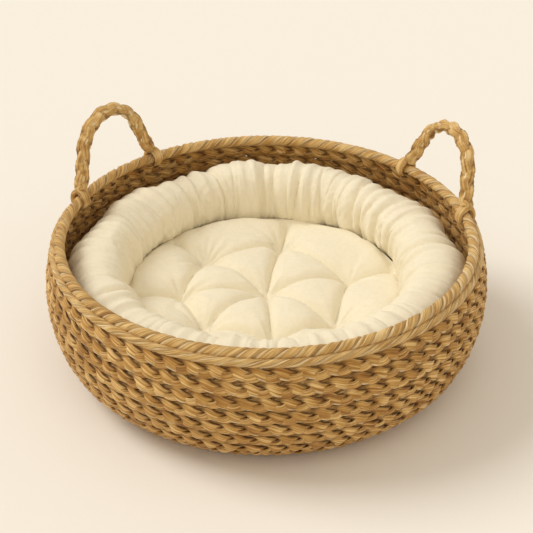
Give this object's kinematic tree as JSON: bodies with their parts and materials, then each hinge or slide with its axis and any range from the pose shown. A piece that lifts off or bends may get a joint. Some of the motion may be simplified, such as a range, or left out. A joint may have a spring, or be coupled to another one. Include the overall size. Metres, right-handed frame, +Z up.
{
  "type": "pet bed basket",
  "caption": "Round coiled basket of flat plait with a roped rim, a pair of folding plaited handles and a lift-out cushion that has a bolster ring and a tufted pad.",
  "frame": {"origin": "on the ground at the centre of the base", "axes": "+Z up; +Y towards the back of the basket, between the two handles; +X towards the right-hand handle"},
  "size_m": [0.5, 0.5, 0.2463],
  "materials": {
    "plait": "matt dried plant fibre, three-strand flat plait",
    "rope": "matt dried plant fibre, twisted rope",
    "handle_plait": "matt dried plant fibre, three-strand plait",
    "wire": "bright drawn wire",
    "thread": "waxed linen thread",
    "cover": "soft ivory cotton with a fine weave",
    "cover_thread": "cotton thread",
    "wadding": "polyester wadding"
  },
  "bodies": {
    "basket": {"base_coil": "plait", "wall_course_01": "plait", "wall_course_02": "plait", "wall_course_03": "plait", "wall_course_04": "plait", "wall_course_05": "plait", "wall_course_06": "plait", "wall_course_07": "plait", "wall_course_08": "plait", "wall_course_09": "plait", "wall_course_10": "plait", "binder_rope": "rope", "rim_rope": "rope", "rim_hoop": "wire", "seam_thread": "thread"},
    "handle_left": {"handle_left": "handle_plait", "handle_left_core": "wire"},
    "handle_right": {"handle_right": "handle_plait", "handle_right_core": "wire"},
    "cushion": {"bolster_cover": "cover", "bolster_filling": "wadding", "pad_cover": "cover", "pad_filling": "wadding", "bolster_seam": "cover_thread", "tuft_ties": "cover_thread"}
  },
  "joints": [
    {"name": "handle_left_fold", "type": "hinge", "parent": "basket", "child": "handle_left", "pos_m": [-0.19029, 0.11434, 0.1524], "axis": [-0.515, -0.8572, 0], "range_deg": [-89, 43]},
    {"name": "handle_right_fold", "type": "hinge", "parent": "basket", "child": "handle_right", "pos_m": [0.19029, 0.11434, 0.1524], "axis": [-0.515, 0.8572, 0], "range_deg": [-95, 37]},
    {"name": "cushion_lift", "type": "slide", "parent": "basket", "child": "cushion", "axis": [0, 0, 1], "range_m": [0, 0.25]}
  ]
}
